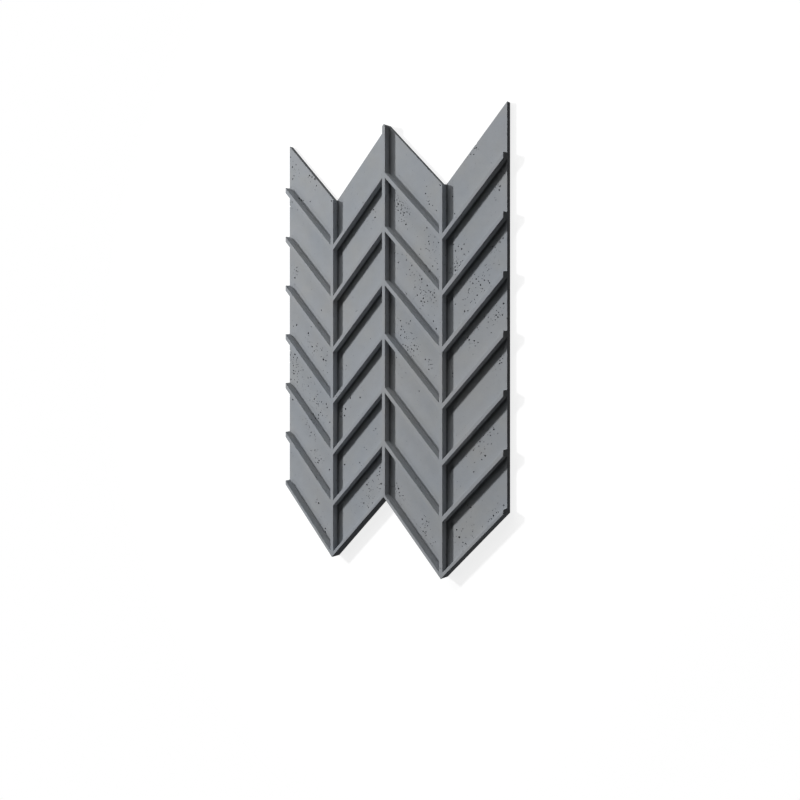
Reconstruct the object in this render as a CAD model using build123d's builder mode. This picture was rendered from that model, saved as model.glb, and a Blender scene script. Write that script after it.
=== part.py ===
"""Cast concrete wall panel with a zigzag outline and a ribbed relief.

The panel is one casting. It lies on its plain back, which is at z = 0, with the
relief facing up. X runs across the columns, Y up the wall and Z out of the wall.
The ribs belong to an endless pattern of chevrons crossed by uprights. One module of
that pattern, cut along two zigzag seams and two straight ones and drawn in by half a
joint all round, is the outline: the points of one panel fill the notches of the next.
"""
import os
from math import atan2, cos, radians, tan

from build123d import *

# Driving dimensions, in millimetres and degrees
column_width = 150.0  # one limb of a chevron, from one upright to the next
column_count = 4
chevron_rise = 150.0  # height that a chevron gains over one column
module_height = 800.0  # from the lower seam to the upper one
row_count = 7
joint_gap = 4.0  # left open between one panel and the next
slab_thickness = 11.0
relief_height = 14.0
rib_width = 8.5  # across the front face of a rib
draft_angle = 2.0  # lean of the rib sides, to lift the casting from its mould
foot_radius = 1.5  # hollow where a rib meets the slab
arris_radius = 0.8  # worn edge of the front faces

# Sizes and places that follow from them
module_width = column_width * column_count
panel_thickness = slab_thickness + relief_height
row_pitch = module_height / row_count
bottom_seam = (chevron_rise - module_height) / 2  # where it meets the left seam
top_seam = bottom_seam + module_height
limb_slope = cos(atan2(chevron_rise, column_width))  # width of a limb to its upright size
draft_spread = relief_height * tan(radians(draft_angle))  # that a rib gains at each side of its foot
upright_foot = rib_width + 2 * draft_spread
upright_length = 2 * (module_height + chevron_rise)


def zigzag(height, spare_columns=0):
    """Corners, from left to right, of the zigzag that meets the left seam at this height."""
    columns = range(-spare_columns, column_count + spare_columns + 1)
    return [(column_width * i - module_width / 2, height - chevron_rise * (i % 2)) for i in columns]


def zigzag_band(low, high, spare_columns=0):
    """Corners of the band between two zigzags, all the way round."""
    return zigzag(low, spare_columns) + zigzag(high, spare_columns)[::-1]


with BuildPart() as wall_panel:
    # One chevron rib stands on each row's lower seam, and runs past the outline
    with BuildSketch(Plane.XY.offset(slab_thickness)):
        for row in range(row_count):
            rib_low = bottom_seam + row * row_pitch - draft_spread / limb_slope
            rib_high = rib_low + upright_foot / limb_slope
            with BuildLine():
                Polyline(*zigzag_band(rib_low, rib_high, spare_columns=1), close=True)
            make_face()
    extrude(amount=relief_height, taper=draft_angle)

    # Uprights stand on the inner seams between the columns
    with BuildSketch(Plane.XY.offset(slab_thickness)):
        with GridLocations(column_width, 0, column_count - 1, 1):
            Rectangle(upright_foot, upright_length)
    extrude(amount=relief_height, taper=draft_angle)

    # The outline trims the relief flush, and its lower part is the slab
    with BuildSketch() as outline:
        with BuildLine():
            Polyline(*zigzag_band(bottom_seam, top_seam), close=True)
        make_face()
        offset(amount=-joint_gap / 2, kind=Kind.INTERSECTION, mode=Mode.REPLACE)
    extrude(amount=panel_thickness, mode=Mode.INTERSECT)
    extrude(outline.sketch, amount=slab_thickness)

    # The mould leaves a small hollow at the foot of the ribs and a worn edge on their fronts
    slab_level = wall_panel.edges().filter_by_position(Axis.Z, slab_thickness, slab_thickness)
    fillet(slab_level.filter_by(Edge.is_interior), foot_radius)
    fillet(wall_panel.faces().sort_by(Axis.Z)[-1].edges(), arris_radius)

wall_panel.part.label = "wall_panel"
os.makedirs("parts", exist_ok=True)
export_step(wall_panel.part, "parts/wall_panel.step")
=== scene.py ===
# %% [markdown]
# # A cast concrete wall panel
# The panel is one thin casting with a zigzag top and bottom and a herringbone of ribs on its face. The CAD
# model already has its true shape and lies on its back at z = 0, with the relief up. This lesson gives it
# what a mould and wet concrete leave behind, which are air pores, nicked edges and a cloudy grey skin, and
# then lights it.

# %% Load the CAD frame
import math
import random

import bmesh
import bpy
from mathutils import Matrix, Vector, noise
from mathutils.bvhtree import BVHTree


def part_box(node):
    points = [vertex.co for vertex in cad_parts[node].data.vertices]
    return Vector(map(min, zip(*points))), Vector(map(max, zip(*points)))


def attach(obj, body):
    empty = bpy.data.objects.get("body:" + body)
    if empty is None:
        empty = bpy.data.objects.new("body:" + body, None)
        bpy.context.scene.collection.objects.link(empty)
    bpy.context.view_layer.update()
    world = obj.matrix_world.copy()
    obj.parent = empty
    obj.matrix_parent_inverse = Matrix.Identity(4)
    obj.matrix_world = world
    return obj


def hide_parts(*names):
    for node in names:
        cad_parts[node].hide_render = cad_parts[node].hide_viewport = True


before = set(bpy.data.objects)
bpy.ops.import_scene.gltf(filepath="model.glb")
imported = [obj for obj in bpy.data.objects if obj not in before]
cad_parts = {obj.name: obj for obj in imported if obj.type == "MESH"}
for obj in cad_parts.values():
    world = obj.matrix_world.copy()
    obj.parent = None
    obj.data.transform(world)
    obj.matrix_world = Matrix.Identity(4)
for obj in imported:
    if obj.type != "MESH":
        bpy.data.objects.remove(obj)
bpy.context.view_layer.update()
PANEL = "wall_panel"
low, high = (Vector(corner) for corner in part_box(PANEL))
scene = bpy.context.scene
print("casting measures", [round(side, 4) for side in high - low], "m")

# %% [markdown]
# ## Finding a place on the panel
# The relief repeats: four columns of 150 mm stand side by side, and each is crossed by seven ribs at 45
# degrees that fall in one column and climb in the next. It is easiest to say where a mark is by its field:
# its column and row, how far across the column it is, and how far above the row's seam. One helper turns
# that into panel coordinates, so that no mark needs its own sums.

# %% Columns, rows and fields
MM = 0.001
JOINT = 4 * MM  # gap between two panels; the casting is drawn in by half of it all round
COLUMNS, ROWS = 4, 7
COLUMN = (high.x - low.x + JOINT) / COLUMNS
MODULE = high.y - low.y + JOINT * math.sqrt(2) - COLUMN
PITCH = MODULE / ROWS
SLAB = 11 * MM  # thickness of the casting between its ribs
FRONT = high.z
RIB_RISE = 8.5 * MM * math.sqrt(2)  # upright height of a slanting rib's front


def in_field(column, row, across, up):
    """Panel x and y of a mark in one field; columns count from 1 at the left, rows from 0 at the bottom."""
    fall = across if column % 2 else COLUMN - across
    x = -COLUMNS * COLUMN / 2 + (column - 1) * COLUMN + across
    return x, (COLUMN - MODULE) / 2 + row * PITCH - fall + up


print("one field is", round(COLUMN, 4), "by", round(PITCH, 4), "m")

# %% [markdown]
# ## The casting itself
# The shape comes from the CAD node, so it is copied rather than modelled again. A CAD mesh is loose
# triangles: merging their corners makes it one closed shell, and dissolving the edges between triangles of
# one plane leaves each flat face whole. Whole faces matter twice here, because they shade evenly and
# because cuts into them stay clean.

# %% Copy the CAD mesh
casting_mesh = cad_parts[PANEL].data.copy()
casting_mesh.name = "casting"
casting = bpy.data.objects.new("casting", casting_mesh)
scene.collection.objects.link(casting)
shell = bmesh.new()
shell.from_mesh(casting_mesh)
bmesh.ops.remove_doubles(shell, verts=shell.verts, dist=1e-6)
skin = BVHTree.FromBMesh(shell)
bmesh.ops.dissolve_limit(shell, angle_limit=math.radians(0.2), verts=shell.verts, edges=shell.edges)
shell.to_mesh(casting_mesh)
print("casting has", len(shell.faces), "faces and", sum(not e.is_manifold for e in shell.edges), "open edges")
shell.free()

# %% [markdown]
# ## Air pores
# Bubbles that cannot rise out of wet concrete stay against the mould and leave small deep holes, most of
# them in swarms. A bump pattern could paint them, but it has no rim that catches light and no depth when
# seen from the side. Real holes cost little: a rough ball is placed at each bubble, and all the balls are
# cut out of the casting at once. Bubbles keep clear of one another, so that no two holes run together. A
# ray cast finds the surface under each place, so a hole sits on the slab, on a rib or on an edge alike.

# %% One bubble
CHANCE_SEED, NOISE_SEED = 41, 7  # fixed, so that every run has the same bubbles
chance = random.Random(CHANCE_SEED)
noise.seed_set(NOISE_SEED)
bubbles = bmesh.new()
bubble_places = []
one_bubble = bpy.data.meshes.new("one_bubble")
SPACING = 1.35  # least distance between two bubbles, to the sum of their radii
WANDER = 0.16  # how far a bubble's skin strays from a smooth ball, to its radius
FINE = 0.7 * MM  # radius below which a bubble needs few faces
WIDTHS, DEPTHS = (0.85, 1.2), (1.0, 1.35)  # least and most, to its radius


def add_bubble(point, outward, radius, sink):
    """A rough ball of air, its middle sunk below the surface by this share of its depth."""
    for other, other_radius in bubble_places:
        if (point - other).length < SPACING * (radius + other_radius):
            return False
    wide, long, deep = (radius * chance.uniform(*span) for span in (WIDTHS, WIDTHS, DEPTHS))
    spin = Matrix.Rotation(chance.uniform(0, 6.28), 4, "Z")
    turn = outward.to_track_quat("Z", "Y").to_matrix().to_4x4() @ spin
    seat = Matrix.Translation(point - outward * deep * sink)
    ball = bmesh.new()
    bmesh.ops.create_icosphere(ball, subdivisions=1 if radius < FINE else 2, radius=1.0,
                               matrix=seat @ turn @ Matrix.Diagonal((wide, long, deep, 1.0)))
    for vertex in ball.verts:
        vertex.co += WANDER * radius * noise.noise_vector(vertex.co / (1.1 * radius))
    ball.to_mesh(one_bubble)
    ball.free()
    bubbles.from_mesh(one_bubble)
    bubble_places.append((point, radius))
    return True


# %% [markdown]
# ## Pores on the face
# The pores that stand out on the real panel were read off it, and each has its own place and size here.
# Small ones gather round them in swarms, and the smallest lie anywhere. Those two kinds only need the right
# number and spread, so chance places them: a swarm thins out from its middle, and strays fall evenly.

# %% A pore on the face
CLEAR = 50 * MM  # how far outside the casting a ray starts
LEVEL = 0.8  # how far up a surface has to face to count as level
RIB_PORE = 1.2 * MM  # largest pore that the narrow front of a rib can hold


def pore_from_above(x, y, radius):
    """Drops a pore straight onto the panel's face, if there is level panel under it."""
    point, outward, _, _ = skin.ray_cast(Vector((x, y, FRONT + CLEAR)), Vector((0, 0, -1)))
    if point is None or outward.z < LEVEL:
        return False
    on_rib = point.z > SLAB + MM
    return add_bubble(point, outward, min(radius, RIB_PORE) if on_rib else radius, sink=0.2)


# %% Pores that stand out
# For each field, by column and row: mm across, mm up and mm of radius of each pore
PORES = {
    (1, 0): [(96, 62, 2.2), (117, 20, 2.0), (117, 27, 1.8)],
    (1, 1): [(12, 97, 2.0), (18, 105, 1.5), (62, 101, 2.0), (79, 110, 1.5), (72, 84, 1.6), (83, 90, 1.4),
             (69, 73, 1.4), (84, 56, 1.8), (72, 42, 1.5), (97, 46, 2.2), (94, 38, 2.0), (104, 57, 1.5),
             (87, 41, 1.5), (130, 61, 1.8)],
    (1, 2): [(19, 96, 2.2), (3, 89, 1.6), (4, 80, 1.5), (3, 62, 1.6), (14, 84, 1.5), (27, 96, 1.6),
             (25, 89, 1.6), (26, 79, 1.5), (14, 65, 1.7), (15, 54, 1.9), (16, 48, 2.1), (13, 42, 1.8),
             (46, 87, 1.5), (71, 96, 1.6), (62, 85, 1.5), (6, 24, 2.1), (27, 39, 1.7), (63, 67, 1.4),
             (82, 57, 1.8), (94, 58, 1.8), (120, 85, 1.9), (123, 80, 1.6), (105, 74, 1.4), (96, 35, 1.9),
             (103, 48, 1.7), (131, 55, 2.0), (136, 63, 1.5), (79, 19, 1.8), (87, 17, 2.0), (95, 26, 1.7),
             (132, 17, 1.8)],
    (1, 3): [(25, 57, 2.1), (14, 43, 1.5), (63, 75, 2.0), (75, 56, 2.0), (80, 61, 1.8), (82, 53, 1.6),
             (90, 72, 1.5), (111, 62, 2.2), (119, 68, 1.6), (106, 79, 1.4), (136, 64, 2.1)],
    (1, 4): [(24, 68, 1.9), (26, 78, 1.5), (19, 47, 2.1), (136, 95, 1.6), (105, 55, 1.6)],
    (1, 5): [(3, 86, 2.1), (10, 103, 1.8)],
    (1, 6): [(11, 71, 1.9), (23, 87, 1.5), (16, 55, 1.7), (12, 44, 1.5), (67, 100, 1.9), (75, 104, 1.7),
             (84, 107, 2.3), (89, 96, 1.7), (69, 42, 1.7), (5, 89, 1.7), (33, 17, 1.9), (40, 19, 1.7),
             (47, 16, 1.4)],
    (2, 0): [(132, 46, 2.3), (129, 83, 2.1), (128, 76, 1.6), (127, 70, 1.4), (121, 73, 1.5), (129, 38, 1.5),
             (92, 80, 2.2), (92, 93, 1.7), (98, 66, 1.4), (83, 48, 1.8), (96, 27, 1.6), (107, 27, 1.5)],
    (2, 1): [(117, 64, 1.6), (26, 70, 1.9), (71, 33, 1.8), (56, 18, 1.8)],
    (2, 2): [(29, 77, 2.2), (26, 65, 2.1), (15, 74, 1.8), (18, 82, 1.6), (72, 61, 2.0), (43, 88, 1.6)],
    (2, 3): [(25, 4, 1.3), (28, 8, 1.3), (15, 5, 1.2)],
    (2, 5): [(115, 67, 2.1), (111, 88, 1.7)],
    (2, 6): [(79, 25, 1.7), (76, 20, 1.5), (80, 16, 1.5), (93, 8, 1.3)],
    (3, 0): [(93, 58, 1.9), (105, 67, 1.6), (107, 60, 1.4), (103, 43, 1.6), (103, 36, 1.5), (95, 35, 1.5),
             (100, 49, 1.3), (110, 71, 1.2), (30, 52, 1.7), (32, 46, 1.6), (28, 41, 1.5), (34, 41, 1.7),
             (36, 51, 1.5), (31, 36, 1.4)],
    (3, 2): [(85, 87, 1.4)],
    (3, 3): [(35, 70, 1.7), (38, 61, 1.7), (62, 96, 1.3), (58, 86, 1.5), (51, 81, 1.2), (37, 53, 1.4),
             (47, 58, 1.6), (36, 40, 1.5), (42, 27, 1.6), (49, 32, 1.4), (55, 28, 1.6), (55, 34, 1.4),
             (65, 40, 1.8), (71, 42, 1.7), (72, 55, 1.6), (77, 59, 1.3), (80, 55, 1.5), (66, 74, 1.2),
             (101, 55, 1.4), (111, 64, 1.4), (110, 43, 1.4), (139, 46, 1.3)],
    (3, 4): [(20, 85, 1.5), (29, 73, 1.5), (66, 102, 1.6), (85, 108, 1.6), (93, 107, 1.6), (92, 98, 1.9),
             (87, 101, 1.4), (106, 98, 1.8), (115, 107, 1.3), (74, 64, 1.5), (80, 53, 1.8), (96, 62, 1.9),
             (90, 50, 1.9), (95, 46, 1.6), (99, 57, 1.4), (51, 28, 1.4), (89, 66, 1.2), (124, 100, 1.8),
             (125, 92, 1.5), (114, 92, 1.4), (120, 92, 1.3), (103, 81, 1.2), (133, 108, 1.4), (126, 108, 1.3),
             (122, 40, 1.6), (129, 31, 2.0)],
    (3, 5): [(29, 83, 1.9), (26, 89, 1.4), (26, 75, 1.5), (29, 70, 1.6), (42, 98, 1.2), (38, 89, 1.5),
             (48, 92, 1.3), (45, 79, 1.7), (53, 88, 1.4), (54, 96, 1.2), (37, 78, 1.3), (50, 59, 2.0),
             (45, 62, 1.3), (43, 72, 1.3), (36, 70, 1.2), (105, 102, 1.5), (110, 79, 1.6), (111, 74, 1.4),
             (110, 89, 1.2), (103, 57, 1.3), (111, 60, 1.3), (135, 99, 1.7), (133, 43, 1.4), (120, 37, 1.3),
             (138, 26, 1.6), (111, 18, 1.8)],
    (3, 6): [(138, 105, 1.8), (102, 56, 1.5), (111, 42, 1.6), (116, 11, 1.1)],
    (4, 0): [(36, 54, 2.2), (30, 74, 1.6), (52, 27, 1.8), (45, 36, 1.3), (46, 17, 1.6), (45, 63, 1.2),
             (64, 89, 1.7), (57, 99, 1.5), (117, 26, 2.0), (104, 16, 1.6), (112, 24, 1.2), (124, 26, 1.2),
             (140, 26, 1.4)],
    (4, 1): [(118, 79, 1.7), (116, 85, 1.2), (110, 75, 1.5), (109, 82, 1.1), (86, 85, 1.8), (94, 90, 1.2),
             (95, 76, 1.1), (98, 46, 2.1), (90, 46, 1.4), (70, 83, 1.5), (71, 39, 1.5), (83, 79, 1.3)],
    (4, 2): [(134, 90, 1.3), (132, 85, 1.5), (136, 77, 1.5), (138, 83, 1.3), (131, 80, 1.3)],
    (4, 3): [(60, 83, 1.8), (72, 69, 1.9), (81, 57, 1.5), (56, 91, 1.2), (20, 56, 1.6), (19, 51, 1.3),
             (140, 73, 1.8), (123, 68, 1.8), (127, 60, 1.6), (137, 54, 1.4), (140, 49, 1.4), (129, 67, 1.2),
             (96, 92, 1.4), (105, 82, 1.5)],
    (4, 4): [(139, 86, 1.5), (132, 86, 1.8), (114, 97, 1.6), (121, 88, 1.3), (116, 92, 1.4), (69, 72, 1.8),
             (77, 72, 1.7), (87, 50, 1.9), (83, 61, 1.3), (79, 38, 1.7), (96, 50, 1.6), (105, 39, 1.7),
             (108, 32, 1.5), (112, 21, 1.5), (60, 70, 1.5), (58, 65, 1.3), (49, 37, 2.0), (57, 30, 1.3),
             (27, 74, 1.4)],
    (4, 5): [(132, 80, 1.6), (130, 75, 1.7), (22, 86, 1.5), (27, 67, 1.7), (42, 55, 1.8), (34, 69, 1.2),
             (48, 58, 1.3), (48, 38, 1.3), (27, 28, 2.0), (33, 22, 2.0), (26, 36, 1.6), (31, 38, 1.8),
             (36, 28, 1.7), (40, 31, 1.4)],
    (4, 6): [(77, 110, 1.9), (77, 103, 1.8), (64, 105, 1.1), (56, 110, 1.2), (20, 70, 1.5), (25, 30, 1.5)],
}
made = 0
for (column, row), pores in PORES.items():
    for across, up, radius in pores:
        made += pore_from_above(*in_field(column, row, across * MM, up * MM), radius * MM)
print("pores that stand out:", made, "of", sum(len(pores) for pores in PORES.values()))

# %% Swarms of small pores round them
# Each swarm: column, row, mm across, mm up, mm of spread, tries
SWARMS = [
    (1, 0, 97, 45, 20, 8), (1, 1, 70, 85, 12, 14), (1, 1, 92, 48, 12, 16), (1, 2, 18, 70, 14, 44),
    (1, 2, 90, 55, 20, 36), (1, 2, 50, 70, 20, 14), (1, 3, 75, 65, 14, 18), (1, 3, 118, 66, 12, 14),
    (1, 4, 24, 62, 12, 12), (1, 5, 8, 95, 8, 10), (1, 6, 18, 70, 14, 16), (1, 6, 78, 100, 12, 14),
    (2, 0, 110, 60, 22, 46), (2, 1, 70, 40, 30, 6), (2, 2, 28, 72, 12, 8), (2, 3, 60, 40, 30, 5),
    (2, 4, 80, 55, 30, 4), (2, 5, 113, 76, 12, 8), (2, 6, 80, 22, 10, 8), (3, 0, 32, 45, 10, 24),
    (3, 0, 102, 50, 14, 26), (3, 1, 75, 60, 35, 3), (3, 2, 30, 88, 12, 12), (3, 3, 55, 52, 18, 60),
    (3, 3, 105, 55, 14, 14), (3, 4, 95, 75, 24, 60), (3, 5, 42, 80, 14, 54), (3, 5, 115, 65, 18, 34),
    (3, 6, 105, 52, 14, 8), (4, 0, 45, 45, 18, 26), (4, 0, 112, 26, 14, 12), (4, 1, 98, 74, 20, 22),
    (4, 2, 134, 82, 8, 14), (4, 3, 128, 65, 12, 24), (4, 3, 68, 76, 12, 14), (4, 4, 85, 52, 20, 54),
    (4, 4, 125, 88, 10, 12), (4, 5, 34, 42, 13, 44), (4, 5, 130, 76, 8, 10), (4, 6, 72, 106, 8, 6),
]
SWARM_RADII = (0.5, 1.15)  # mm
made = 0
for column, row, across, up, spread, tries in SWARMS:
    for _ in range(tries):
        spot = in_field(column, row, chance.gauss(across, spread) * MM, chance.gauss(up, spread) * MM)
        made += pore_from_above(*spot, chance.uniform(*SWARM_RADII) * MM)
print("small pores in swarms:", made)

# %% Stray pores
STRAY_TRIES, STRAY_RADII = 700, (0.35, 0.75)  # mm
made = 0
for _ in range(STRAY_TRIES):
    spot = chance.uniform(low.x, high.x), chance.uniform(low.y, high.y)
    made += pore_from_above(*spot, chance.uniform(*STRAY_RADII) * MM)
print("stray pores on the face:", made)

# %% [markdown]
# ## Pores on upright surfaces and on the back
# Air also stays against the sides of the ribs, thickest in a few rows beside the uprights, and against the
# frame that forms the outer edges. A ray that looks sideways from a field finds the side of a rib, and one
# that looks in from outside finds an outer edge. The back was open to the air while the concrete set, so it
# has few pores and no swarms.

# %% A pore seen from the side
UPRIGHT = 0.3  # how far up or down a surface may face to count as upright
STAND_OFF = 20 * MM  # how far from a rib the ray to its side starts


def pore_from_beside(eye, heading, radius):
    """Finds the upright surface that this place looks at, and puts a pore there."""
    point, outward, _, _ = skin.ray_cast(eye, heading)
    if point is None or abs(outward.z) > UPRIGHT or outward.dot(heading) > 0:
        return False
    return add_bubble(point, outward, radius, sink=0.15)


# %% Rib sides
SIDE_TRIES, SIDE_RADII = 190, (0.5, 1.3)  # mm
SIDE_HEIGHTS = (1.3, 12.0)  # mm above the slab
made = 0
for _ in range(SIDE_TRIES):
    column, row = chance.randint(1, COLUMNS), chance.randrange(ROWS)
    x, y = in_field(column, row, chance.uniform(0.15, 0.85) * COLUMN, chance.uniform(0.3, 0.8) * PITCH)
    bearing = chance.uniform(0, 2 * math.pi)
    heading = Vector((math.cos(bearing), math.sin(bearing), 0))
    eye = Vector((x, y, SLAB + chance.uniform(*SIDE_HEIGHTS) * MM))
    made += pore_from_beside(eye, heading, chance.uniform(*SIDE_RADII) * MM)
print("pores on the rib sides:", made)

# %% Rows beside the uprights
# Each row: mm across, mm up the wall, mm above the slab, mm of spread, tries
UPRIGHT_ROWS = [
    (-150, 312, 7, 9, 12), (-150, 262, 2, 9, 10), (-150, 66, 8, 20, 5), (-150, -60, 6, 40, 5),
    (0, 318, 9, 10, 14), (0, 75, 3, 18, 9), (0, -120, 7, 40, 5), (0, -294, 2, 8, 5),
    (150, 302, 5, 12, 12), (150, 262, 2, 12, 10), (150, 72, 7, 16, 7), (150, -90, 6, 40, 5),
]
LOWEST, HIGHEST, SCATTER = 1.2, 12.5, 2.5  # mm above the slab, and mm of spread in height
ROW_RADII = (0.45, 1.1)  # mm
made = 0
for across, up_wall, above, spread, tries in UPRIGHT_ROWS:
    for _ in range(tries):
        rise = min(max(chance.gauss(above, SCATTER), LOWEST), HIGHEST)
        eye = Vector((across * MM + STAND_OFF, chance.gauss(up_wall, spread) * MM, SLAB + rise * MM))
        made += pore_from_beside(eye, Vector((-1, 0, 0)), chance.uniform(*ROW_RADII) * MM)
print("pores beside the uprights:", made)

# %% Upper sides of the falling ribs
# Each pore: column, row, mm across, mm above the slab, mm of radius
RIB_SIDES = [
    (1, 1, 45, 8, 1.0), (1, 1, 100, 12, 1.6), (1, 2, 84, 11, 1.5), (1, 2, 90, 9, 1.7), (1, 2, 95, 6, 1.4),
    (1, 2, 99, 3, 1.2), (1, 2, 127, 12, 1.7), (1, 2, 132, 5, 1.5), (1, 3, 40, 10, 1.1), (1, 3, 105, 4, 1.0),
    (1, 4, 108, 8, 1.3), (1, 4, 114, 10, 1.1), (1, 6, 33, 8, 1.6), (1, 6, 38, 5, 1.3), (1, 6, 44, 4, 1.1),
    (3, 1, 94, 8, 1.4), (3, 1, 101, 12, 1.5), (3, 2, 60, 6, 1.0), (3, 3, 40, 12, 1.3), (3, 3, 75, 8, 1.1),
    (3, 4, 50, 7, 1.1), (3, 4, 95, 9, 1.2), (3, 5, 106, 10, 1.6), (3, 5, 112, 6, 1.2), (3, 6, 80, 8, 1.0),
]
made = 0
for column, row, across, above, radius in RIB_SIDES:
    x, y = in_field(column, row, across * MM, RIB_RISE)
    eye = Vector((x + STAND_OFF, y + STAND_OFF, SLAB + above * MM))
    made += pore_from_beside(eye, Vector((-1, -1, 0)).normalized(), radius * MM)
print("pores on the falling ribs:", made)

# %% Outer edges
EDGE_TRIES, EDGE_RADII = 170, (0.4, 1.2)  # mm
EDGE_HEIGHTS = (2, 9.5)  # mm above the back
made = 0
for _ in range(EDGE_TRIES):
    bearing = chance.uniform(0, 2 * math.pi)
    away = Vector((math.cos(bearing), math.sin(bearing), 0))
    eye = Vector((0, chance.uniform(-0.3, 0.3), chance.uniform(*EDGE_HEIGHTS) * MM)) + away
    made += pore_from_beside(eye, -away, chance.uniform(*EDGE_RADII) * MM)
print("pores on the outer edges:", made)

# %% Back
BACK_TRIES, BACK_RADII = 150, (0.5, 1.7)  # mm
made = 0
for _ in range(BACK_TRIES):
    under = Vector((chance.uniform(low.x, high.x), chance.uniform(low.y, high.y), low.z - CLEAR))
    point, outward, _, _ = skin.ray_cast(under, Vector((0, 0, 1)))
    if point is not None:
        made += add_bubble(point, outward, chance.uniform(*BACK_RADII) * MM, sink=0.25)
print("pores on the back:", made)

# %% [markdown]
# ## Nicked edges
# Thin ribs chip where a casting is lifted from its mould. Each nick is one more rough ball, but set on an
# edge and pulled out of it, so that it only takes a shallow bite. Most lie by chance on the front edges of
# the ribs. The few that stand out are where the real panel has them: on some ribs, on the outer edges and
# at the heads of two uprights.

# %% Nicks along the ribs
NICK_TRIES, NICK_RADII = 110, (0.35, 0.9)  # mm
MARGIN = 3 * MM  # left free at the ends of the ribs


def nick_rib(column, row, across, upper, radius, sink):
    """A nick in the upper or the lower front edge of a slanting rib."""
    x, y = in_field(column, row, across, RIB_RISE if upper else 0.0)
    lean = 0.5 if upper else -0.5
    outward = Vector((lean if column % 2 else -lean, lean, 0.7)).normalized()
    return abs(x) < high.x - MARGIN and add_bubble(Vector((x, y, FRONT)), outward, radius, sink)


made = 0
for _ in range(NICK_TRIES):
    column, row = chance.randint(1, COLUMNS), chance.randrange(ROWS)
    across = chance.uniform(0.06, 0.94) * COLUMN
    upper = chance.random() < 0.5
    if row + upper > 0:
        made += nick_rib(column, row, across, upper, chance.uniform(*NICK_RADII) * MM, sink=-0.2)

# Each nick that stands out on the upper edge of a rib: column, row, mm across, mm of radius
RIB_NICKS = [
    (1, 1, 104, 1.3), (1, 2, 128, 1.5), (2, 6, 90, 1.1), (3, 1, 103, 1.3), (4, 3, 115, 1.0), (4, 5, 40, 1.0),
]
for column, row, across, radius in RIB_NICKS:
    made += nick_rib(column, row, across * MM, True, radius * MM, sink=0.0)
print("nicks along the ribs:", made)

# %% Nicks in the outline and at the heads of uprights
# Each nick: place in m, mm of radius. The last one is a pit in the face.
CORNER_NICKS = [
    ((low.x, 0.326, SLAB), 2.0), ((low.x, -0.118, SLAB), 1.3), ((high.x, 0.052, SLAB), 1.4),
    ((-0.1465, 0.3285, FRONT), 1.8), ((0.1540, 0.3270, FRONT), 1.2), ((-0.2535, 0.3385, SLAB), 1.7),
]
made = 0
for place, radius in CORNER_NICKS:
    outward = Vector((math.copysign(0.5, place[0]), 0.2, 0.8)).normalized()
    made += add_bubble(Vector(place), outward, radius * MM, sink=0.1)
print("other nicks:", made)

# %% [markdown]
# ## Cutting
# One Boolean takes all the balls out of the casting together. The casting and the balls are closed, and the
# balls keep clear of one another, so the quick Manifold solver is enough. The balls have a material of
# their own, which the cut hands on to the inside of the pores.

# %% Cut them all out
cutter_mesh = bpy.data.meshes.new("bubbles")
bubbles.to_mesh(cutter_mesh)
bubbles.free()
cutter = bpy.data.objects.new("bubbles", cutter_mesh)
scene.collection.objects.link(cutter)
cast_concrete = bpy.data.materials.new("cast_concrete")
pore_shaded_lining = bpy.data.materials.new("pore_shaded_lining")
for mesh in (casting_mesh, cutter_mesh):
    mesh.materials.clear()
    mesh.materials.append(cast_concrete)
    mesh.materials.append(pore_shaded_lining)
casting_mesh.polygons.foreach_set("material_index", [0] * len(casting_mesh.polygons))
cutter_mesh.polygons.foreach_set("material_index", [1] * len(cutter_mesh.polygons))

cut = casting.modifiers.new("cut_pores", "BOOLEAN")
cut.operation = "DIFFERENCE"
cut.solver = "MANIFOLD"
cut.object = cutter
solid = casting.evaluated_get(bpy.context.evaluated_depsgraph_get())
casting.modifiers.clear()
casting.data = bpy.data.meshes.new_from_object(solid)
bpy.data.objects.remove(cutter)
print("casting with pores has", len(casting.data.polygons), "faces")

# %% [markdown]
# ## Even shading
# Flat faces should shade flat right up to their rounded edges. Smooth shading alone tilts the light across
# a whole face when its neighbours curve away, and a cut surface has many thin faces that make this worse. A
# modifier could weigh the faces by size, but here it is known which ones are flat. So each corner is told
# its normal: a flat face keeps its own, a rounded strip takes its flat neighbour's at their border, and
# pores are smooth within themselves.

# %% A normal for each corner
LEVEL_FACE, UPRIGHT_FACE = 0.9995, 0.036  # z of a flat face's normal; the sides of the ribs lean by 2 degrees
SAME_BEND = 0.77  # cosine of the widest angle between faces that shade as one
form = bmesh.new()
form.from_mesh(casting.data)
form.normal_update()
kinds = []
for face in form.faces:
    tilt = abs(face.normal.z)
    is_flat = tilt > LEVEL_FACE or tilt < UPRIGHT_FACE
    kinds.append("pore" if face.material_index else "flat" if is_flat else "round")


def corner_normal(face, vertex):
    """The normal that this face should have at this corner."""
    kind = kinds[face.index]
    if kind == "flat":
        return face.normal
    near = [other for other in vertex.link_faces if other.normal.dot(face.normal) > SAME_BEND]
    level = [other for other in near if kinds[other.index] == "flat"]
    if kind == "round" and level:
        return max(level, key=lambda other: other.normal.dot(face.normal)).normal
    total = Vector()
    for other in near:
        if kinds[other.index] == kind:
            total += other.normal * other.calc_area()
    return total.normalized() if total.length else face.normal


corner_normals = [corner_normal(face, loop.vert) for face in form.faces for loop in face.loops]
casting.data.polygons.foreach_set("use_smooth", [True] * len(casting.data.polygons))
casting.data.normals_split_custom_set(corner_normals)
form.free()
print("faces by kind:", {kind: kinds.count(kind) for kind in sorted(set(kinds))})

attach(casting, "root")
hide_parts(PANEL)
casting.data.calc_loop_triangles()
print("casting has", len(casting.data.loop_triangles), "triangles")

# %% [markdown]
# ## Writing shaders as sums
# A finish is easier to read as arithmetic than as a web of nodes. This small class holds one socket.
# Adding, multiplying or comparing two of them adds the Math node that does it, and any other node comes
# from one method.


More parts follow.
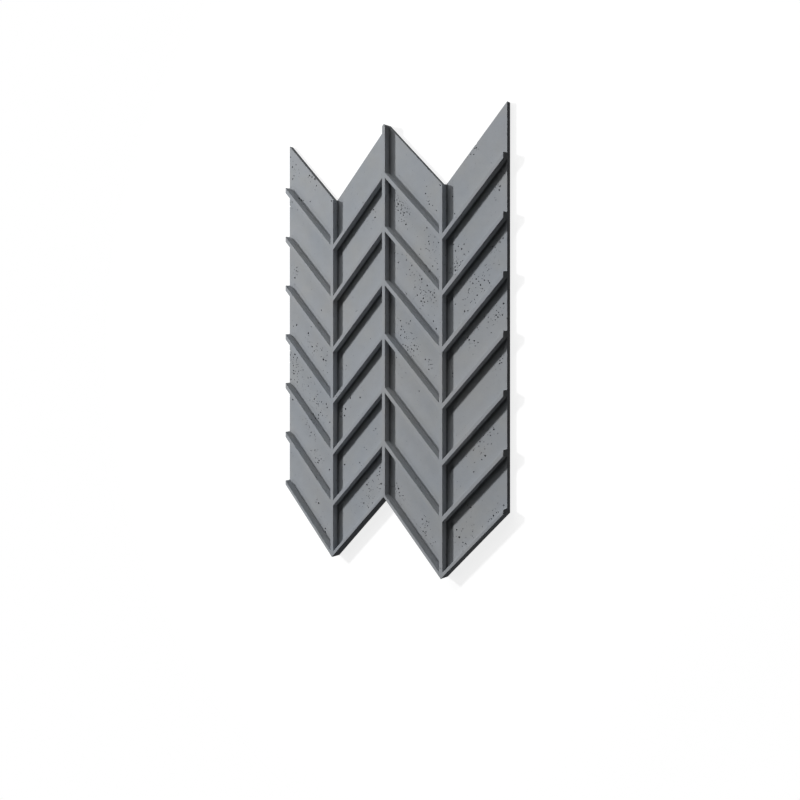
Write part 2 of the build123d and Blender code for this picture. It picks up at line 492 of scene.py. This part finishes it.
# %% A socket that does sums
class Shade:
    """One output socket of a shader tree."""

    def __init__(self, tree, socket=None):
        self.tree, self.socket = tree, socket

    def node(self, kind, settings=None, sockets=None, output=0):
        """Adds a node, its settings first and then the values or links of its sockets."""
        made_node = self.tree.nodes.new(kind)
        for name, value in (settings or {}).items():
            setattr(made_node, name, value)
        for name, value in (sockets or {}).items():
            if isinstance(value, Shade):
                self.tree.links.new(value.socket, made_node.inputs[name])
            else:
                made_node.inputs[name].default_value = value
        return None if output is None else Shade(self.tree, made_node.outputs[output])

    def math(self, operation, first, second=0.0):
        return self.node("ShaderNodeMath", {"operation": operation}, {0: first, 1: second})

    def __add__(self, other):
        return self.math("ADD", self, other)

    def __sub__(self, other):
        return self.math("SUBTRACT", self, other)

    def __rsub__(self, other):
        return self.math("SUBTRACT", other, self)

    def __mul__(self, other):
        return self.math("MULTIPLY", self, other)

    def __gt__(self, other):
        return self.math("GREATER_THAN", self, other)

    def __lt__(self, other):
        return self.math("LESS_THAN", self, other)

    __radd__ = __add__
    __rmul__ = __mul__

    def ramp(self, start, end):
        """0 below start, 1 above end, smooth between; start may be the larger."""
        return self.node("ShaderNodeMapRange", {"interpolation_type": "SMOOTHSTEP"},
                         {"Value": self, "From Min": start, "From Max": end})

    def noise(self, scale, detail=3.0, roughness=0.55, distortion=0.0):
        """Cloudy values around one half, read at this place."""
        return self.node("ShaderNodeTexNoise", {}, {"Vector": self, "Scale": scale, "Detail": detail,
                                                    "Roughness": roughness, "Distortion": distortion})

    def blend(self, first, second):
        """The second colour over the first by this mask."""
        return self.node("ShaderNodeMix", {"data_type": "RGBA"}, {0: self, 6: first, 7: second}, 2)

    def times(self, other):
        """This colour multiplied by another one, or by a brightness."""
        settings = {"data_type": "RGBA", "blend_type": "MULTIPLY"}
        return self.node("ShaderNodeMix", settings, {0: 1.0, 6: self, 7: other}, 2)


# %% [markdown]
# ## Dark feet and edges
# The shade that gathers in the hollow at the foot of a rib, most of all to the right of the uprights and
# below the ribs that climb, is painted into the colour as a darker band, and so is the shade on the outer
# edges of the casting. Both could be painted onto the mesh, but its faces are too large for that. The
# relief repeats, so the shader finds the places by itself: what is left of x after whole columns is the way
# from the last upright, and a zigzag of x takes the slant out of y, so that what is left after whole rows
# is the way from a slanting rib.


# %% Where the feet and the edges are
# Where the painted shade thins out, and where it is darkest
PAST_UPRIGHT = (10.0 * MM, 6.6 * MM)  # from the middle of an upright
BELOW_RIB = (7.5 * MM, 2.5 * MM)  # from the lower front edge of a climbing rib
ABOVE_BACK = (14.0 * MM, 11.5 * MM)  # height on the casting
TOUCH = 0.02 * MM  # how near to an outer edge counts as on it


def painted_shade_places(start, place):
    """Two masks of painted shade: the hollow at the right or lower foot of the ribs, and the outer edges of
    the casting.
    """
    across, up_wall, height = (start.node("ShaderNodeSeparateXYZ", {}, {0: place}, axis) for axis in "XYZ")
    from_seam = across + COLUMNS * COLUMN / 2
    past_upright = start.math("FLOORED_MODULO", from_seam, COLUMN)
    level = up_wall + start.math("PINGPONG", from_seam, COLUMN) + (MODULE - COLUMN) / 2
    below_rib = (PITCH - start.math("FLOORED_MODULO", level, PITCH)) * math.sqrt(0.5)
    shade_by_upright = past_upright.ramp(*PAST_UPRIGHT) * (from_seam > COLUMN / 2)
    climbing = start.math("FLOORED_MODULO", from_seam, 2 * COLUMN) > COLUMN
    shade_by_rib = below_rib.ramp(*BELOW_RIB) * climbing * (level < MODULE - PITCH / 2)
    low_down = height.ramp(*ABOVE_BACK) * (height > SLAB - 0.1 * MM)
    shaded_feet = start.math("MAXIMUM", shade_by_upright, shade_by_rib) * low_down
    # Painted shade on the outer edges of the casting.
    inset = JOINT / 2 * math.sqrt(2) + TOUCH
    sides = start.math("ABSOLUTE", across) > high.x - TOUCH
    ends = start.math("ABSOLUTE", level - MODULE / 2) > MODULE / 2 - inset
    return shaded_feet, start.math("MAXIMUM", sides, ends)


# %% [markdown]
# ## Concrete
# The skin is what lay against the mould: a matt bluish grey with soft clouds where water gathered, a finer
# mottle of cement and sand, and pin holes too small to cut, painted darker as the shade inside them. Noise
# of several sizes gives the clouds and the grain, and the middle of Voronoi cells gives the pin holes. The
# back was never against the mould, so it is rougher and streaked by the float that levelled it. Inside a
# pore the paste is the same but coarser, and it is painted darker as the shade in the hole.


# %% The concrete and the lining of its pores
COOL_GREY, WARM_GREY = (0.297, 0.315, 0.334), (0.316, 0.326, 0.335)
BLUISH, BROWNISH = [0.975, 0.985, 1.01, 1.0], [1.01, 1.0, 0.985, 1.0]


def finish_concrete(material, shade_tone, grain):
    """Fills a material with cast concrete; its tone number darkens it as painted shade, used inside the
    pores, and grain coarsens it.
    """
    material.use_nodes = True
    tree = material.node_tree
    surface = tree.nodes["Principled BSDF"]
    start = Shade(tree)
    place = start.node("ShaderNodeTexCoord", output="Object")
    height = start.node("ShaderNodeSeparateXYZ", {}, {0: place}, "Z")
    back = height < 0.3 * MM

    clouds = place.noise(6.0, 4.0, 0.5)
    patches = place.noise(17.0, 3.0, 0.5)
    mottle = place.noise(60.0, 5.0, 0.6)
    sand = place.noise(900.0, 2.0, 0.6)
    swept = start.node("ShaderNodeMapping", {},
                       {"Vector": place, "Rotation": (0, 0, 0.5), "Scale": (5.0, 34.0, 1.0)})
    float_marks = swept.noise(1.0, 4.0, 0.5, 1.1)

    cells = {"Vector": place, "Scale": 190.0}
    from_middle = start.node("ShaderNodeTexVoronoi", {}, cells, "Distance")
    cell_colour = start.node("ShaderNodeTexVoronoi", {}, cells, "Color")
    lot = start.node("ShaderNodeSeparateColor", {}, {0: cell_colour}, 0)
    # The pin holes are painted darker, as the shade inside them, and dented a little by the bump.
    shaded_pin_holes = from_middle.ramp(0.085, 0.05) * (lot > 0.55)

    cool, warm = ([shade_tone * part for part in grey] + [1.0] for grey in (COOL_GREY, WARM_GREY))
    tint = patches.ramp(0.35, 0.75).blend(BLUISH, BROWNISH)
    shaded_feet, edges = painted_shade_places(start, place)
    # Painted shade: the feet of the ribs, the outer edges and the pin holes are made darker; mottle, sand and
    # the float marks on the back are the concrete's own tone.
    light = (1.0 + 0.16 * (mottle - 0.5) + 0.14 * (sand - 0.5) - 0.4 * shaded_pin_holes
             - 0.5 * shaded_feet * (0.4 + 1.2 * mottle) - 0.28 * edges + back * (0.3 * float_marks - 0.13))
    colour = clouds.ramp(0.3, 0.7).blend(cool, warm).times(tint).times(light)
    tree.links.new(colour.socket, surface.inputs["Base Color"])

    dull = 0.74 + 0.2 * mottle + 0.06 * sand + 0.1 * back
    tree.links.new(dull.socket, surface.inputs["Roughness"])
    surface.inputs["Specular IOR Level"].default_value = 0.12

    relief = (0.5 * patches + 0.12 * mottle + grain * 0.07 * sand - 0.25 * shaded_pin_holes
              + back * (0.9 * float_marks + 0.25 * mottle))
    bump = start.node("ShaderNodeBump", {}, {"Strength": 1.0, "Distance": MM, "Height": relief})
    tree.links.new(bump.socket, surface.inputs["Normal"])
    print(material.name, "has", len(tree.nodes), "nodes")


finish_concrete(cast_concrete, shade_tone=1.0, grain=1.0)
# The lining is painted darker as the shade inside the pores; its coarser grain is the paste's own.
finish_concrete(pore_shaded_lining, shade_tone=0.6, grain=2.0)

# %% [markdown]
# ## Floor and background
# The panel lies on a plain white ground. What the camera sees of it should be white, with a soft shadow of
# the panel left on it, but a white floor would also throw light up under the zigzag edges, which are dark
# on the real one. The Light Path node tells the two apart: to the camera, and in reflections, the floor is
# white and glows a little, and to light that bounces it is dark. Away from the panel no shadow falls, so
# there the floor is blank white and meets the background without a line.

# %% White ground
floor_mesh = bpy.data.meshes.new("floor")
floor_form = bmesh.new()
bmesh.ops.create_grid(floor_form, x_segments=1, y_segments=1, size=20.0)
floor_form.to_mesh(floor_mesh)
floor_form.free()
floor = bpy.data.objects.new("floor", floor_mesh)
scene.collection.objects.link(floor)


def seen_directly(start):
    """1 for what the camera sees by itself, in a mirror or through glass, and 0 for bounced light."""
    camera, mirror, glass = (start.node("ShaderNodeLightPath", output=f"Is {kind} Ray")
                             for kind in ("Camera", "Glossy", "Transmission"))
    return start.math("MINIMUM", camera + mirror + glass, 1.0)


WHITE = (1, 1, 1, 1)
GLOW = 0.83  # what the floor near the panel gives off by itself, as the camera sees it
SEEN_GREY, BOUNCE_GREY = (0.25, 0.25, 0.25, 1), (0.04, 0.04, 0.04, 1)  # what it gives back of the lamps
BLANK_FROM, BLANK_AT = 0.62, 1.1  # m from the middle of the panel, where the floor turns blank white
ground = bpy.data.materials.new("ground")
ground.use_nodes = True
ground.node_tree.nodes.clear()
start = Shade(ground.node_tree)
reach = start.node("ShaderNodeVectorMath", {"operation": "LENGTH"},
                   {0: start.node("ShaderNodeTexCoord", output="Object")}, "Value")
glow = start.node("ShaderNodeEmission", {}, {"Color": WHITE, "Strength": GLOW})
blank = start.node("ShaderNodeEmission", {}, {"Color": WHITE, "Strength": 1.0})
lit = start.node("ShaderNodeBsdfDiffuse", {}, {"Color": SEEN_GREY})
dark = start.node("ShaderNodeBsdfDiffuse", {}, {"Color": BOUNCE_GREY})
near = start.node("ShaderNodeAddShader", {}, {0: glow, 1: lit})
shown = start.node("ShaderNodeMixShader", {}, {0: reach.ramp(BLANK_FROM, BLANK_AT), 1: near, 2: blank})
either = start.node("ShaderNodeMixShader", {}, {0: seen_directly(start), 1: dark, 2: shown})
start.node("ShaderNodeOutputMaterial", {}, {"Surface": either}, None)
floor_mesh.materials.append(ground)
print("ground has", len(ground.node_tree.nodes), "nodes")

# %% Background
ROOM_LIGHT = 0.005  # what the room itself adds to the lamps
room = bpy.data.worlds.new("room")
room.use_nodes = True
room.node_tree.nodes.clear()
start = Shade(room.node_tree)
strength = ROOM_LIGHT + (1.0 - ROOM_LIGHT) * seen_directly(start)
backdrop = start.node("ShaderNodeBackground", {}, {"Color": WHITE, "Strength": strength})
start.node("ShaderNodeOutputWorld", {}, {"Surface": backdrop}, None)
scene.world = room
print("background has", len(room.node_tree.nodes), "nodes")

# %% [markdown]
# ## Light
# The relief shows because a small lamp rakes across it from the upper left, 37 degrees above the face, so
# that the ribs throw clear shadows. Two long strips at the same height, to its left and above it, are the
# rest of a wide window: they light the shadows little by little, from the edge to the foot of the rib, and
# leave the edge crisp because they are no higher or lower than the lamp. A low lamp at the top lights the
# ribs that fall, and a faint one at the lower right keeps the undersides from going black.

# %% Lamps round the panel
# Each lamp: name, bearing from +X in degrees, height above the face in degrees, m away, m wide, m tall, watts
LAMPS = [
    ("key", 158, 37, 6.0, 0.6, 0.42, 338.0),
    ("left_strip", 196, 37, 6.0, 2.3, 0.54, 57.0),
    ("upper_strip", 120, 37, 6.0, 2.6, 0.54, 89.0),
    ("top_fill", 80, 19, 4.0, 2.4, 0.9, 39.0),
    ("right_fill", 318, 15, 6.0, 3.6, 1.3, 20.0),
]
for name, bearing, rise, distance, wide, tall, watts in LAMPS:
    lamp_data = bpy.data.lights.new(name, "AREA")
    lamp_data.shape = "RECTANGLE"
    lamp_data.size, lamp_data.size_y, lamp_data.energy = wide, tall, watts
    lamp = bpy.data.objects.new(name, lamp_data)
    scene.collection.objects.link(lamp)
    flat = distance * math.cos(math.radians(rise))
    lamp.location = (flat * math.cos(math.radians(bearing)), flat * math.sin(math.radians(bearing)),
                     distance * math.sin(math.radians(rise)))
    lamp.rotation_euler = (math.pi / 2 - math.radians(rise), 0, math.radians(bearing + 90))
    print("lamp", name, [round(part, 2) for part in lamp.location])

# %% [markdown]
# ## Camera
# The picture was taken from the right of the panel, level with its middle, and then cropped, so the middle
# of the lens is a little above the middle of the frame. Fitting the edges of the casting to the picture
# gives the camera's place, and a lens shift stands for the crop.

# %% Camera to the right of the panel
FRAME_PIXELS = 800  # width and height of the picture
FOCAL_PIXELS, AXIS_ROW = 866.3, 350.29  # length of the lens, and where its middle is from the top
CAMERA_PLACE = (1.17684, -0.00967, 1.44523)  # m
CAMERA_TURN = 0.6728  # radians, about the line up the wall
camera_data = bpy.data.cameras.new("camera")
camera_data.sensor_width = 36.0
camera_data.lens = camera_data.sensor_width * FOCAL_PIXELS / FRAME_PIXELS
camera_data.shift_y = (AXIS_ROW - FRAME_PIXELS / 2) / FRAME_PIXELS
camera = bpy.data.objects.new("camera", camera_data)
scene.collection.objects.link(camera)
camera.location = CAMERA_PLACE
camera.rotation_euler = (0.0, CAMERA_TURN, 0.0)
scene.camera = camera
scene.view_settings.view_transform = "Standard"
print("camera lens", round(camera_data.lens, 2), "mm")
